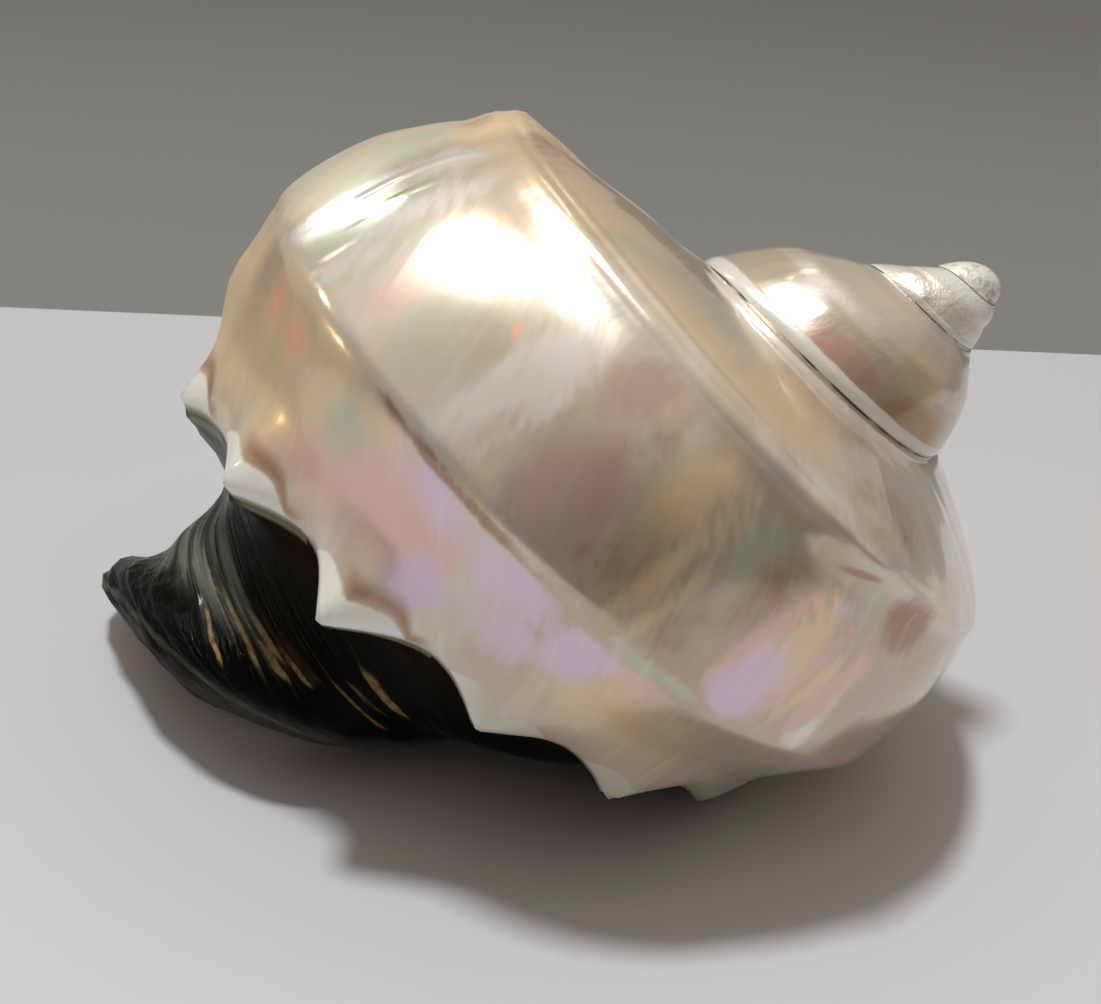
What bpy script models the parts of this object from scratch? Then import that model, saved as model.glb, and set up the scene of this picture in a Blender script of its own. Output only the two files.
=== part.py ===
"""A polished green turban shell, resting mouth down on a table.

The shell is one solid. Its outside is one sheet that winds down from the tip,
each column of the sheet being one growth line. The sheet's last growth line is
the lip. From the lip the surface turns inwards, lines the mouth and runs back
up inside the body whorl as the hollow that the animal lived in.

Lengths in the growth law are in units of SUTURE_RADIUS, and angles along the
growth are in turns from the column where the suture has just that radius.
"""

import math

import bmesh
import bpy
from mathutils import Matrix, Vector

# --- Driving dimensions -------------------------------------------------------
SUTURE_RADIUS = 0.0235      # metres: radius of the suture at turn 0
EXPANSION = 2.27            # each turn is this much larger than the one before

KNOBS_PER_TURN = 13         # flutes along the lowest keel
COLUMNS_PER_KNOB = 4
COLUMNS = KNOBS_PER_TURN * COLUMNS_PER_KNOB
FIRST_TURN = -3.0           # the tip
LIP_COLUMNS = 27            # growth after turn 0, up to the upper end of the lip
LIP_TURN = LIP_COLUMNS / COLUMNS
LAST_COLUMN = round((LIP_TURN - FIRST_TURN) * COLUMNS)

KNOB_REACH = (0.075, 0.25)  # how far a flute stands out, and how far it hangs down
KEEL_TURNS = (-0.75, -0.13) # where the whorl starts to square up, and is squared
RIDGE_TURNS = (-0.20, 0.03) # the same for the ridge round the base
SWELL = 0.025               # extra girth of the body whorl near the mouth
SWELL_TURNS = (0.02, 0.18)

DOME_DEPTH = 0.20           # the tip's dome ends this far under the law's origin
DOME_RINGS = 3
SHELF_RINGS = 4             # rings of faces between the outer edge and the hollow
HOLLOW_RINGS = 12
HOLLOW_TURNS = 0.62         # how far back the hollow runs from the mouth
HOLLOW_TAPER = 0.72         # width of its inner end against its mouth

# How the shell lies, on the lip, the columella and a flute of the base: the axis
# from base to tip rises AXIS_RISE above the table and points HEADING round from
# +X, and the side of the whorls at LOWEST_TURN faces down.
AXIS_RISE = math.radians(40.215)
HEADING = math.radians(8.009)
LOWEST_TURN = 0.62608
WEAR = 0.0006               # metres worn flat where the shell rests

# --- The section of a whorl ---------------------------------------------------
# Stations down the section: name, radius and depth on a keeled whorl, radius
# and depth on a round early whorl, and how many faces lead on to the next one.
STATIONS = (
    ("suture", 1.00, 1.405, 1.00, 1.405, 1),
    ("welt", 1.22, 1.42, 1.12, 1.46, 2),
    ("ramp", 1.85, 1.56, 1.50, 1.78, 1),
    ("shoulder", 2.21, 1.69, 1.74, 1.98, 1),
    ("keel_1", 2.38, 1.84, 1.87, 2.15, 1),
    ("side_1", 2.51, 2.07, 1.99, 2.34, 1),
    ("side_2", 2.65, 2.45, 2.16, 2.66, 2),
    ("side_3", 2.75, 3.05, 2.28, 2.98, 1),
    ("keel_2", 2.75, 3.22, 2.27, 3.189, 1),
    ("lower_1", 2.69, 3.40, 2.26, 3.40, 1),
    ("lower_2", 2.48, 3.80, 2.20, 3.80, 2),
    ("keel_3", 2.26, 4.244, 2.15, 4.20, 1),
    ("under", 1.80, 4.52, 1.75, 4.45, 2),
    ("groove", 1.57, 4.95, 1.20, 4.85, 2),
    ("ridge_1", 1.59, 5.22, 0.96, 5.20, 1),
    ("ridge_2", 1.64, 5.50, 0.84, 5.45, 1),
    ("ridge_3", 1.45, 5.74, 0.70, 5.74, 2),
    ("margin", 1.00, 5.82, 0.42, 5.98, 0),
)
NAMES = [station[0] for station in STATIONS]
FACES = [station[5] for station in STATIONS]
INSIDE = -1                 # the column number of a vertex that is on no growth line
ROW_OF = {name: sum(FACES[:i]) for i, name in enumerate(NAMES)}
ATTACH_ROW = ROW_OF["keel_2"]
MARGIN_ROW = ROW_OF["margin"]

# How many turns each part of the lip lags behind its upper end.
LAG = {
    "suture": 0.0, "welt": 0.011, "ramp": 0.033, "shoulder": 0.047, "keel_1": 0.056,
    "side_1": 0.061, "side_2": 0.086, "side_3": 0.106, "keel_2": 0.114,
    "lower_1": 0.122, "lower_2": 0.142, "keel_3": 0.161, "under": 0.189,
    "groove": 0.233, "ridge_1": 0.264, "ridge_2": 0.279, "ridge_3": 0.350,
    "margin": 0.395,
}
LAG_TURNS = (LIP_TURN - 1.0, 0.28)

# The hollow's own section: radius and depth, from the suture round the outer
# wall to the spout and back up the columella.
HOLLOW = (
    (1.12, 1.62), (1.75, 1.75), (2.20, 2.02), (2.46, 2.50), (2.57, 3.05), (2.46, 3.55),
    (2.16, 4.02), (1.74, 4.38), (1.42, 4.85), (1.32, 5.32), (0.98, 5.56), (0.62, 5.15),
    (0.44, 4.40), (0.48, 3.60), (0.62, 3.00), (0.80, 2.55), (1.00, 2.25), (1.13, 1.95),
)
HOLLOW_CENTRE = (1.55, 3.20)
SPOUT_AROUND = 10 / len(HOLLOW)


def smooth(value, low, high):
    """0 below low, 1 above high, and a smooth step between."""
    step = min(max((value - low) / (high - low), 0.0), 1.0)
    return step * step * (3.0 - 2.0 * step)


def curve(points, at, closed=False):
    """A smooth curve through the points, read at a place counted in points."""
    count = len(points)
    index = math.floor(at)
    part = at - index

    def point(i):
        if closed:
            return points[i % count]
        return points[min(max(i, 0), count - 1)]

    before, start, end, after = (point(index + step) for step in (-1, 0, 1, 2))
    result = []
    for a, b, c, d in zip(before, start, end, after):
        bend = (2 * a - 5 * b + 4 * c - d) + (3 * (b - c) + d - a) * part
        result.append(b + 0.5 * part * ((c - a) + part * bend))
    return result


def scale_at(turn):
    return EXPANSION ** turn


def knob_at(turn):
    """1 at the tip of a flute, 0 halfway between two, with a sharp crest."""
    return 1.0 - abs(math.sin(math.pi * KNOBS_PER_TURN * turn))


def station_points(turn):
    """The section's stations, and the lag of each, where the growth is at turn."""
    keeled = smooth(turn, *KEEL_TURNS)
    grown = smooth(turn, *RIDGE_TURNS)
    covered = smooth(turn, LIP_TURN - 1.0, LIP_TURN - 0.8)
    girth = 1.0 + SWELL * smooth(turn, *SWELL_TURNS)
    points = []
    for name, radius, depth, round_radius, round_depth, _ in STATIONS:
        amount = grown if NAMES.index(name) > NAMES.index("groove") else keeled
        if name == "keel_2":
            amount = min(keeled, covered)
        points.append((
            (round_radius + (radius - round_radius) * amount) * girth,
            round_depth + (depth - round_depth) * amount,
            LAG[name],
        ))
    return points


def section(turn, place):
    """Radius, depth and lag at a place down the section, counted in stations."""
    radius, depth, lag = curve(station_points(turn), place)
    return radius, depth, lag


def place_of_row(row):
    """Where a row of vertices stands, counted in stations."""
    for i, faces in enumerate(FACES[:-1]):
        first = sum(FACES[:i])
        if row <= first + faces:
            return i + (row - first) / faces
    raise ValueError(f"no row {row}")


def on_axis_section(turn, radius, depth):
    """A point of the shell, with the tip at the origin and the axis upright."""
    size = SUTURE_RADIUS * scale_at(turn)
    angle = -2.0 * math.pi * turn
    return Vector((
        size * radius * math.cos(angle),
        size * radius * math.sin(angle),
        -size * depth,
    ))


def outer_point(column, row):
    """The sheet's vertex on this growth line, at this row of the section."""
    growth = FIRST_TURN + column / COLUMNS
    place = place_of_row(row)
    _, _, lag = section(growth, place)
    turn = growth - lag * smooth(growth, *LAG_TURNS)
    radius, depth, _ = section(turn, place)
    keel = place_of_row(ROW_OF["keel_3"])
    width = 1.0 if place <= keel else 0.8
    flute = knob_at(turn) * math.exp(-(((place - keel) / width) ** 2))
    flute *= smooth(turn, LIP_TURN - 1.0, LIP_TURN - 0.9)
    radius += KNOB_REACH[0] * flute
    depth += KNOB_REACH[1] * flute
    return on_axis_section(turn, radius, depth)


# --- The mouth and the hollow -------------------------------------------------
def around(column, row):
    """Where a vertex of the sheet's open edge stands round the hollow, 0 to 1."""
    if column == LAST_COLUMN:
        return SPOUT_AROUND * row / MARGIN_ROW
    if row == MARGIN_ROW:
        back = LAST_COLUMN - column
    else:
        back = COLUMNS + MARGIN_ROW - row
    inner_edge = COLUMNS + MARGIN_ROW - ATTACH_ROW
    return SPOUT_AROUND + (1.0 - SPOUT_AROUND) * back / inner_edge


def mouth_turn(share):
    """The turn of the mouth's edge at a place round the hollow."""
    if share <= SPOUT_AROUND:
        place = place_of_row(share / SPOUT_AROUND * MARGIN_ROW)
        return LIP_TURN - section(LIP_TURN, place)[2]
    spout = LIP_TURN - LAG["margin"]
    return spout + (LIP_TURN - spout) * smooth(share, SPOUT_AROUND, 1.0)


def hollow_point(share, step):
    """The hollow's wall: share goes round it, step from 0 at the mouth to 1."""
    inner_end = LIP_TURN - LAG["keel_3"] - HOLLOW_TURNS
    turn = mouth_turn(share) * (1.0 - step) + inner_end * step
    radius, depth = curve(HOLLOW, share * len(HOLLOW), closed=True)
    width = 1.0 + (HOLLOW_TAPER - 1.0) * step
    radius = HOLLOW_CENTRE[0] + (radius - HOLLOW_CENTRE[0]) * width
    depth = HOLLOW_CENTRE[1] + (depth - HOLLOW_CENTRE[1]) * width
    return on_axis_section(turn, radius, depth)


# --- Building -----------------------------------------------------------------
class Shell:
    """The mesh while it grows. Each vertex carries its column and its row."""

    def __init__(self):
        self.bm = bmesh.new()
        self.column = self.bm.verts.layers.int.new("column")
        self.row = self.bm.verts.layers.int.new("row")

    def first_vertex(self, column, row):
        vertex = self.bm.verts.new(outer_point(column, row))
        vertex[self.column] = column
        vertex[self.row] = row
        return vertex

    def lengthen(self, vertex, last_row):
        """Draws the section on from a vertex, down to the last row."""
        edges = []
        while vertex[self.row] < last_row:
            made = bmesh.ops.extrude_vert_indiv(self.bm, verts=[vertex])
            new = made["verts"][0]
            new[self.column] = vertex[self.column]
            new[self.row] = vertex[self.row] + 1
            new.co = outer_point(new[self.column], new[self.row])
            edges.extend(made["edges"])
            vertex = new
        return edges, vertex

    def extrude(self, edges):
        made = bmesh.ops.extrude_edge_only(self.bm, edges=edges)["geom"]
        verts = [item for item in made if isinstance(item, bmesh.types.BMVert)]
        known = set(verts)
        new_edges = [
            item for item in made
            if isinstance(item, bmesh.types.BMEdge) and set(item.verts) <= known
        ]
        return verts, new_edges


def grow_outside(shell):
    """Winds the outer sheet, one growth line after another."""
    edges, last = shell.lengthen(shell.first_vertex(0, 0), ATTACH_ROW)
    for column in range(1, LAST_COLUMN + 1):
        if column == LAST_COLUMN - COLUMNS + 1:
            base_edges, _ = shell.lengthen(last, MARGIN_ROW)
            edges = edges + base_edges
        verts, edges = shell.extrude(edges)
        for vertex in verts:
            vertex[shell.column] = column
            vertex.co = outer_point(column, vertex[shell.row])
        last = max(verts, key=lambda vertex: vertex[shell.row])


def weld_sutures(shell):
    """Joins each whorl's upper edge to the whorl before it."""
    by_place = {
        (vertex[shell.column], vertex[shell.row]): vertex
        for vertex in shell.bm.verts
    }
    targets = {}
    for column in range(LAST_COLUMN - COLUMNS + 1):
        upper = by_place[(column + COLUMNS, 0)]
        targets[upper] = by_place[(column, ATTACH_ROW)]
    bmesh.ops.weld_verts(shell.bm, targetmap=targets)


def close_tip(shell):
    """Fills the opening round the axis at the tip with a rounded dome."""
    edges = [
        edge for edge in shell.bm.edges
        if edge.is_boundary and all(v[shell.column] <= COLUMNS for v in edge.verts)
    ]
    top = on_axis_section(FIRST_TURN, 0.0, DOME_DEPTH)
    for ring in range(1, DOME_RINGS + 1):
        verts, edges = shell.extrude(edges)
        before = math.radians(90.0 * (ring - 1) / (DOME_RINGS + 1))
        now = math.radians(90.0 * ring / (DOME_RINGS + 1))
        across = math.cos(now) / math.cos(before)
        down = (1.0 - math.sin(now)) / (1.0 - math.sin(before))
        for vertex in verts:
            offset = vertex.co - top
            vertex.co = top + Vector((offset.x * across, offset.y * across, offset.z * down))
            vertex[shell.column] = INSIDE
    cap = bmesh.ops.contextual_create(shell.bm, geom=edges)["faces"]
    centre = bmesh.ops.poke(shell.bm, faces=cap)["verts"][0]
    centre.co = top
    centre[shell.column] = INSIDE


def grow_inside(shell):
    """Turns the sheet in at the lip and runs it back as the hollow."""
    edges = [edge for edge in shell.bm.edges if edge.is_boundary]
    outer = {
        (v[shell.column], v[shell.row]): v.co.copy()
        for edge in edges for v in edge.verts
    }
    for ring in range(1, SHELF_RINGS + 1):
        verts, edges = shell.extrude(edges)
        share = ring / SHELF_RINGS
        for vertex in verts:
            place = (vertex[shell.column], vertex[shell.row])
            inner = hollow_point(around(*place), 0.0)
            vertex.co = outer[place].lerp(inner, share)
    for ring in range(1, HOLLOW_RINGS + 1):
        verts, edges = shell.extrude(edges)
        for vertex in verts:
            place = (vertex[shell.column], vertex[shell.row])
            vertex.co = hollow_point(around(*place), ring / HOLLOW_RINGS)
    bmesh.ops.contextual_create(shell.bm, geom=edges)


def lying():
    """Turns the upright shell to the way that it lies on the table."""
    spin = Matrix.Rotation(2.0 * math.pi * LOWEST_TURN, 4, "Z")
    lean = Matrix.Rotation(math.pi / 2 - AXIS_RISE, 4, "Y")
    head = Matrix.Rotation(HEADING, 4, "Z")
    return head @ lean @ spin


def wear_down(bm):
    """Cuts the small flats that the shell rests on."""
    level = min(v.co.z for v in bm.verts) + WEAR
    bmesh.ops.bisect_plane(
        bm, geom=bm.verts[:] + bm.edges[:] + bm.faces[:],
        plane_co=(0.0, 0.0, level), plane_no=(0.0, 0.0, 1.0), clear_inner=True,
    )
    rim = [edge for edge in bm.edges if edge.is_boundary]
    flats = bmesh.ops.holes_fill(bm, edges=rim, sides=0)["faces"]
    bmesh.ops.triangulate(bm, faces=flats)


def nacre():
    material = bpy.data.materials.new("nacre")
    material.use_nodes = True
    surface = material.node_tree.nodes["Principled BSDF"]
    surface.inputs["Base Color"].default_value = (0.62, 0.53, 0.44, 1.0)
    surface.inputs["Roughness"].default_value = 0.22
    surface.inputs["Metallic"].default_value = 0.0
    return material


def make_shell():
    shell = Shell()
    grow_outside(shell)
    weld_sutures(shell)
    close_tip(shell)
    grow_inside(shell)
    bm = shell.bm
    bmesh.ops.triangulate(bm, faces=bm.faces[:], quad_method="SHORT_EDGE")
    bmesh.ops.recalc_face_normals(bm, faces=bm.faces[:])
    bmesh.ops.transform(bm, matrix=lying(), verts=bm.verts[:])
    wear_down(bm)
    low = Vector(min(v.co[axis] for v in bm.verts) for axis in range(3))
    high = Vector(max(v.co[axis] for v in bm.verts) for axis in range(3))
    middle = (low + high) / 2
    bmesh.ops.translate(bm, verts=bm.verts[:], vec=(-middle.x, -middle.y, -low.z))
    mesh = bpy.data.meshes.new("shell")
    bm.to_mesh(mesh)
    bm.free()
    mesh.shade_smooth()
    obj = bpy.data.objects.new("shell", mesh)
    mesh.materials.append(nacre())
    bpy.context.scene.collection.objects.link(obj)
    return obj


def main():
    for obj in list(bpy.data.objects):
        bpy.data.objects.remove(obj)
    make_shell()


main()
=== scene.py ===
"""A polished turban shell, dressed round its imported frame, on a plain floor.

The shell's outside is one sheet that winds down from the tip by the growth law
of the part's source, here with finer lines and rows, and with the relief that
the real one has: ribs, flutes, growth lines and the rough dark base.
"""

import math

import bmesh
import bpy
import numpy as np
from mathutils import Matrix, Vector


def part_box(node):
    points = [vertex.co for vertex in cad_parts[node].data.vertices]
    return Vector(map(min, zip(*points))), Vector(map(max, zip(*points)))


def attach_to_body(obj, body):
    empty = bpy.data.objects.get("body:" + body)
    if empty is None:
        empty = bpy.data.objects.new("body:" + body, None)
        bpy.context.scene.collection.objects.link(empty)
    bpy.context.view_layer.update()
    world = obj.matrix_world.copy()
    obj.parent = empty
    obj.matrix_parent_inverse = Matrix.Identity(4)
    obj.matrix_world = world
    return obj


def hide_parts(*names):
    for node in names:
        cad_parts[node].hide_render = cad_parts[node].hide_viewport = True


bl_info = {
    "name": "Turban shell",
    "version": (1, 0, 0),
    "blender": (4, 5, 0),
    "location": "View3D > Sidebar > Shell",
    "description": "Builds a polished turban shell over its packed frame, with its stage",
    "category": "Add Mesh",
}

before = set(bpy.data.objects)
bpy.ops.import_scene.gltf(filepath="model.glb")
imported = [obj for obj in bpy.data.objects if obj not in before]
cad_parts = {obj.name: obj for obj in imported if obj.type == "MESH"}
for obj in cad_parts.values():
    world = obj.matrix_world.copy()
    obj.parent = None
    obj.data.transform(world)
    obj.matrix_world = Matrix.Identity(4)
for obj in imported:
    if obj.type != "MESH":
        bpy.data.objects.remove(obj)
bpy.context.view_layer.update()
SHELL_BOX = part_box("shell")

# --- The growth law, as in the part's source ---------------------------------
SUTURE_RADIUS = 0.0235      # metres: radius of the suture at turn 0
EXPANSION = 2.27            # each turn is this much larger than the one before
FLUTES = 13                 # flutes a turn along the lowest keel
CAD_FIRST_TURN = -3.0       # where the CAD solid starts
LIP_TURN = 27 / 52          # where growth has stopped, at the lip
FLUTE_REACH = (0.075, 0.25)  # how far a flute reaches out and down, in suture radii
FLUTE_WIDTHS = (0.58, 0.62)  # in stations, above the keel and below it
FLUTE_SIZES = {3: 0.60, 2: 0.62, 1: 0.90, 0: 1.42, -1: 0.92, -2: 0.90, -3: 0.85}
KEEL_TURNS = (-0.75, -0.13)  # where the whorl starts to square up, and is squared
RIDGE_TURNS = (-0.20, 0.03)  # the same for the ridge round the base
SWELL = 0.025               # extra girth of the body whorl near the mouth, as a share
SWELL_TURNS = (0.02, 0.18)
HOLLOW_TURNS = 0.62         # how far the hollow winds in from the mouth
HOLLOW_TAPER = 0.72         # width of its inner end, as a share of the mouth's
AXIS_RISE = math.radians(40.215)    # the axis leans this far up from the table
HEADING = math.radians(8.009)
LOWEST_TURN = 0.62608       # the turn that lies lowest
WEAR = 0.0006               # metres worn off where the shell rests

# Name, radius, depth, radius and depth on a round early whorl, faces, lag.
STATIONS = (
    ("suture", 1.00, 1.405, 1.00, 1.405, 1, 0.0),
    ("welt", 1.22, 1.42, 1.12, 1.46, 2, 0.011),
    ("ramp", 1.85, 1.56, 1.50, 1.78, 1, 0.033),
    ("shoulder", 2.21, 1.69, 1.74, 1.98, 1, 0.047),
    ("keel_1", 2.38, 1.84, 1.87, 2.15, 1, 0.056),
    ("side_1", 2.51, 2.07, 1.99, 2.34, 1, 0.061),
    ("side_2", 2.65, 2.45, 2.16, 2.66, 2, 0.086),
    ("side_3", 2.75, 3.05, 2.28, 2.98, 1, 0.106),
    ("keel_2", 2.75, 3.22, 2.27, 3.189, 1, 0.114),
    ("lower_1", 2.69, 3.40, 2.26, 3.40, 1, 0.122),
    ("lower_2", 2.48, 3.80, 2.20, 3.80, 2, 0.142),
    ("keel_3", 2.26, 4.244, 2.15, 4.20, 1, 0.161),
    ("under", 1.80, 4.52, 1.75, 4.45, 2, 0.189),
    ("groove", 1.57, 4.95, 1.20, 4.85, 2, 0.233),
    ("ridge_1", 1.59, 5.22, 0.96, 5.20, 1, 0.264),
    ("ridge_2", 1.64, 5.50, 0.84, 5.45, 1, 0.279),
    ("ridge_3", 1.45, 5.74, 0.70, 5.74, 2, 0.350),
    ("margin", 1.00, 5.82, 0.42, 5.98, 0, 0.395),
)
NAMES = [station[0] for station in STATIONS]
FACES = [station[5] for station in STATIONS]
LAGS = np.array([station[6] for station in STATIONS])
LAG_TURNS = (LIP_TURN - 1.0, 0.28)
PLACE = {name: place for place, name in enumerate(NAMES)}

HOLLOW = np.array((
    (1.12, 1.62), (1.75, 1.75), (2.20, 2.02), (2.46, 2.50), (2.57, 3.05), (2.46, 3.55),
    (2.16, 4.02), (1.74, 4.38), (1.42, 4.85), (1.32, 5.32), (0.98, 5.56), (0.62, 5.15),
    (0.44, 4.40), (0.48, 3.60), (0.62, 3.00), (0.80, 2.55), (1.00, 2.25), (1.13, 1.95),
))
HOLLOW_CENTRE = np.array((1.55, 3.20))
SPOUT_AROUND = 10 / len(HOLLOW)

# --- The finer sheet ----------------------------------------------------------
FIRST_TURN = -2.5           # where the sheet starts, under a blunt cap
CAP_DEPTH = 0.72            # depth of the cap's top, in sizes of the sheet's first turn
CAP_LEAN = Vector((0.004, -0.004, -0.020)) * SUTURE_RADIUS     # how far its top leans over
SPIRE_LEAN = Vector((0.058, 0.0, -0.020)) * SUTURE_RADIUS      # and the first whorls with it
SPIRE_TURNS = (-1.75, -2.35)
CAP_BLUNT = 0.85            # 1 is a round cap, and less is a blunter one
CAP_START = 38.0            # degrees up the round cap where its side starts
BEAK_TURNS = (-0.20, -0.12, -0.05, 0.0, 0.06, 0.09, 0.13, 0.18)
BEAK_TRIM = (0.0, 0.14, 0.09, 0.05, 0.02, 0.03, 0.09, 0.09)    # of the beak's outer edge
LINES_PER_FLUTE = 20        # growth lines of the mesh in each flute
BASE_SWEEP = 0.045          # turns that a growth line of the base sweeps back each place
ROW_STEPS = 4               # rows of the mesh for each face of the CAD solid
COLUMNS = FLUTES * LINES_PER_FLUTE
CAD_COLUMNS = 52            # growth lines a turn in the CAD solid
LAST_COLUMN = round((LIP_TURN - FIRST_TURN) * COLUMNS)
ROWS = sum(FACES) * ROW_STEPS + 1
MARGIN_ROW = ROWS - 1
ATTACH_ROW = sum(FACES[:PLACE["keel_2"]]) * ROW_STEPS
DOME_RINGS = 8
LIP_RINGS = 8
HOLLOW_RINGS = 36
LIP_ROUND = 0.35            # how far the lip's edge rounds out, of its thickness
LIP_MOST = 0.05             # and at most, in suture radii
LIP_V = 20.0                # where the lip starts in the growth map, past the margin
LIP_SMOOTHING = 6           # rounds of smoothing for the way that the lip bulges
HOLLOW_V = 10.0             # how far the hollow runs on in the growth map
MOUTH_RING = 100            # rings are numbered from here in the mouth, and from 0 on the cap
CAP_V = 3.0                 # place of the whole cap in the growth map
LIP_NOTCH = (0.398, 0.030, 2.4)    # where round the mouth, its reach, and how far it turns in


def smooth(value, low, high):
    """0 below low, 1 above high, and a smooth step between."""
    step = np.clip((value - low) / (high - low), 0.0, 1.0)
    return step * step * (3.0 - 2.0 * step)


def bell(value, middle, reach):
    return np.exp(-(((value - middle) / reach) ** 2))


def row_places():
    """Where each row of the mesh stands, counted in stations."""
    places = []
    for i, faces in enumerate(FACES[:-1]):
        steps = faces * ROW_STEPS
        places.extend(i + step / steps for step in range(steps))
    places.append(len(STATIONS) - 1.0)
    return np.array(places)


def curve_weights(places, count, closed=False):
    """Each place's share of the curve's points, for a smooth curve through them."""
    weights = np.zeros((len(places), count))
    for row, place in enumerate(places):
        index = math.floor(place)
        part = place - index
        shares = (
            (-part + 2 * part**2 - part**3) / 2,
            (2 - 5 * part**2 + 3 * part**3) / 2,
            (part + 4 * part**2 - 3 * part**3) / 2,
            (part**3 - part**2) / 2,
        )
        for step, share in zip((-1, 0, 1, 2), shares):
            point = (index + step) % count if closed else min(max(index + step, 0), count - 1)
            weights[row, point] += share
    return weights


def flute_at(turn):
    """1 at the tip of a flute, 0 halfway between two, with a sharp crest."""
    return 1.0 - np.abs(np.sin(math.pi * FLUTES * turn))


def on_axis(turn, radius, depth):
    """Points of the upright shell, with the tip at the origin."""
    size = SUTURE_RADIUS * EXPANSION ** turn
    angle = -2.0 * math.pi * turn
    across = size * radius
    return np.stack((across * np.cos(angle), across * np.sin(angle), -size * depth), axis=-1)


def section(turn, weights):
    """Radius and depth of the section, where growth is at turn, on each place."""
    round_ones = np.array([station[3:5] for station in STATIONS])
    change = np.array([station[1:3] for station in STATIONS]) - round_ones
    keeled = smooth(turn, *KEEL_TURNS)
    grown = smooth(turn, *RIDGE_TURNS)
    covered = smooth(turn, LIP_TURN - 1.0, LIP_TURN - 0.8)
    keels = np.array([name != "keel_2" and i <= PLACE["groove"] for i, name in enumerate(NAMES)])
    ridge = np.arange(len(NAMES)) > PLACE["groove"]
    attach = ~keels & ~ridge
    girth = 1.0 + SWELL * smooth(turn, *SWELL_TURNS)
    found = []
    for axis in (0, 1):
        value = (weights @ round_ones[:, axis])[None, :]
        value = value + (weights @ (change[:, axis] * keels))[None, :] * keeled
        value = value + (weights @ (change[:, axis] * ridge))[None, :] * grown
        value = value + (weights @ (change[:, axis] * attach))[None, :] * np.minimum(keeled, covered)
        found.append(value)
    return found[0] * girth, found[1]


def outside(growth, places):
    """Points, turns and places of the outer sheet, one line for each growth."""
    weights = curve_weights(places, len(STATIONS))
    lag = (weights @ LAGS)[None, :]
    growth = growth[:, None]
    turn = growth - lag * smooth(growth, *LAG_TURNS)
    radius, depth = section(turn, weights)
    place = np.broadcast_to(places[None, :], turn.shape)
    keel = PLACE["keel_3"]
    width = np.where(place <= keel, *FLUTE_WIDTHS)
    flute = flute_at(turn) * bell(place, keel, width)
    flute = flute * smooth(turn, LIP_TURN - 1.0, LIP_TURN - 0.9)
    number = np.rint(turn * FLUTES)
    for which, its_size in FLUTE_SIZES.items():
        flute = np.where(number == which, flute * its_size, flute)
    radius = radius + FLUTE_REACH[0] * flute
    depth = depth + FLUTE_REACH[1] * flute
    return on_axis(turn, radius, depth), turn, place


def lying():
    """Turns the upright shell to the way that it lies on the table."""
    spin = Matrix.Rotation(2.0 * math.pi * LOWEST_TURN, 3, "Z")
    lean = Matrix.Rotation(math.pi / 2 - AXIS_RISE, 3, "Y")
    head = Matrix.Rotation(HEADING, 3, "Z")
    return np.array(head @ lean @ spin)


def tip_place():
    """Where the growth law's tip stands, so that the shell fills its CAD box."""
    columns = np.arange(0, round((LIP_TURN - CAD_FIRST_TURN) * CAD_COLUMNS) + 1)
    growth = CAD_FIRST_TURN + columns / CAD_COLUMNS
    points, _, _ = outside(growth, row_places()[::ROW_STEPS])
    used = points.reshape(-1, 3) @ lying().T
    low, high = used.min(axis=0), used.max(axis=0)
    middle = (SHELL_BOX[0] + SHELL_BOX[1]) / 2
    return np.array((
        middle.x - (low[0] + high[0]) / 2,
        middle.y - (low[1] + high[1]) / 2,
        SHELL_BOX[0].z - low[2] - WEAR,
    ))


# --- Relief -------------------------------------------------------------------
WANDER_HEIGHTS = 4096       # random heights before a wandering line repeats itself


def wander(value, step, seed):
    """A smooth random line, from -1 to 1, with a new height every step."""
    heights = np.random.default_rng(seed).uniform(-1.0, 1.0, WANDER_HEIGHTS)
    at = np.asarray(value) / step
    index = np.floor(at).astype(int)
    part = at - index
    part = part * part * (3.0 - 2.0 * part)
    now, after = heights[index % WANDER_HEIGHTS], heights[(index + 1) % WANDER_HEIGHTS]
    return now * (1.0 - part) + after * part


def line_of(growth, place):
    """The growth line through a point: over the dark base the lines sweep back."""
    return growth + BASE_SWEEP * np.clip(place - PLACE["groove"], -1.0, 4.0)


# Waves across the whorl: height in suture radii, place, and reach.
RIBS = ((0.007, 4.0, 0.25), (-0.010, 4.75, 0.30), (0.006, 5.15, 0.25))
LATE_SWELLS = (
    (0.062, 6.5, 0.9), (0.065, 9.7, 0.5), (-0.06, 10.6, 0.3), (0.050, 3.3, 0.45),
    (-0.035, 1.9, 0.4),
)
LATE_DIPS = ((0.10, 12.3, 0.45), (0.05, 13.9, 0.5))
WELTS = ((0.020, 0.45, 0.25), (-0.010, 1.05, 0.22))
# Bumps and dents: height, turn and its reach, place and its reach.
BUMPS = (
    (0.10, -1.935, 0.030, 5.6, 0.9), (0.10, -1.995, 0.022, 6.3, 0.7),
    (0.035, -0.915, 0.018, 5.7, 0.7), (0.035, -0.968, 0.016, 5.2, 0.6),
    (-0.30, -1.80, 0.11, 3.6, 3.0),
)
BEAK_NUBS = ((0.10, 0.513, 0.011, 15.35, 0.40), (0.05, 0.478, 0.010, 15.2, 0.5))


def waves(place, heights):
    return sum(height * bell(place, at, reach) for height, at, reach in heights)


def bumps(turn, place, heights):
    return sum(
        height * bell(turn, at, turns) * bell(place, row, places)
        for height, at, turns, row, places in heights
    )


def knob(turn, place):
    """The nodule that ends the upper keel, with its steep lower side."""
    along = smooth(turn, -0.146, -0.116) * smooth(turn, -0.060, -0.095)
    drop = 4.62 + 5.0 * np.clip(turn + 0.105, -0.03, 0.03)
    return 0.055 * along * smooth(place, 3.3, 4.2) * smooth(place, drop + 0.30, drop - 0.15)


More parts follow.
